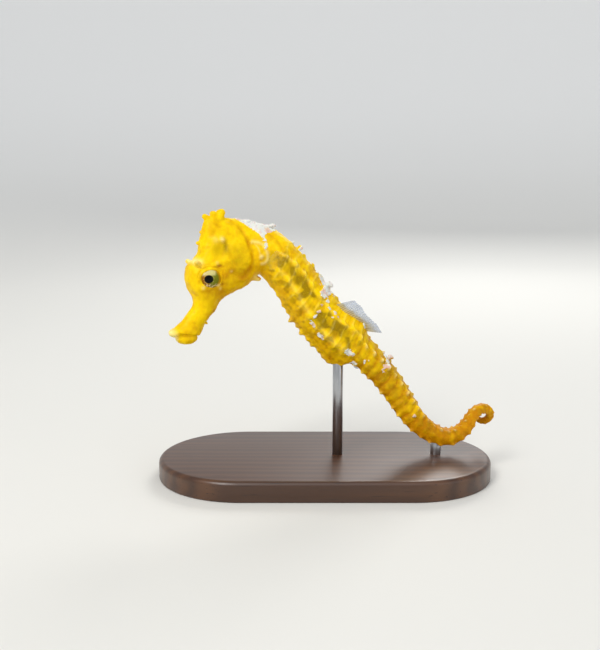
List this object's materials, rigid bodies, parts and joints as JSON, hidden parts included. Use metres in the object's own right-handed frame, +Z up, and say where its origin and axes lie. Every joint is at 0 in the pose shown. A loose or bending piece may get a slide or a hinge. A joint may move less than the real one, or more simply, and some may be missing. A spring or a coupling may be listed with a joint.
{
  "type": "seahorse",
  "caption": "Life-size seahorse with a bent neck, tube snout, ringed body and curled tail, held over an oblong base by short rods.",
  "frame": {"origin": "middle of the base's underside", "axes": "+Z up; the animal faces -X, the left side of its body faces -Y; +X runs along the base toward the tail"},
  "size_m": [0.0859, 0.0438, 0.0669],
  "materials": {
    "skin": "moist, satin, yellow with pale crust",
    "eye": "wet gloss",
    "fin": "thin translucent membrane",
    "base": "dark stain, satin",
    "rod": "brushed"
  },
  "bodies": {
    "root": {"head": "skin", "snout": "skin", "lower_jaw": "skin", "coronet": "skin", "gill_cover_left": "skin", "gill_cover_right": "skin", "neck": "skin", "trunk_upper": "skin", "trunk_middle": "skin", "trunk_lower": "skin", "tail_base": "skin", "tail_upper": "skin", "tail_middle": "skin", "tail_bend": "skin", "tail_curl": "skin", "eye_left": "eye", "eye_right": "eye", "dorsal_fin": "fin", "anal_fin": "fin", "pectoral_fin_left": "fin", "pectoral_fin_right": "fin", "stand_rod_body": "rod", "stand_rod_tail": "rod", "stand_base": "base"}
  },
  "joints": []
}
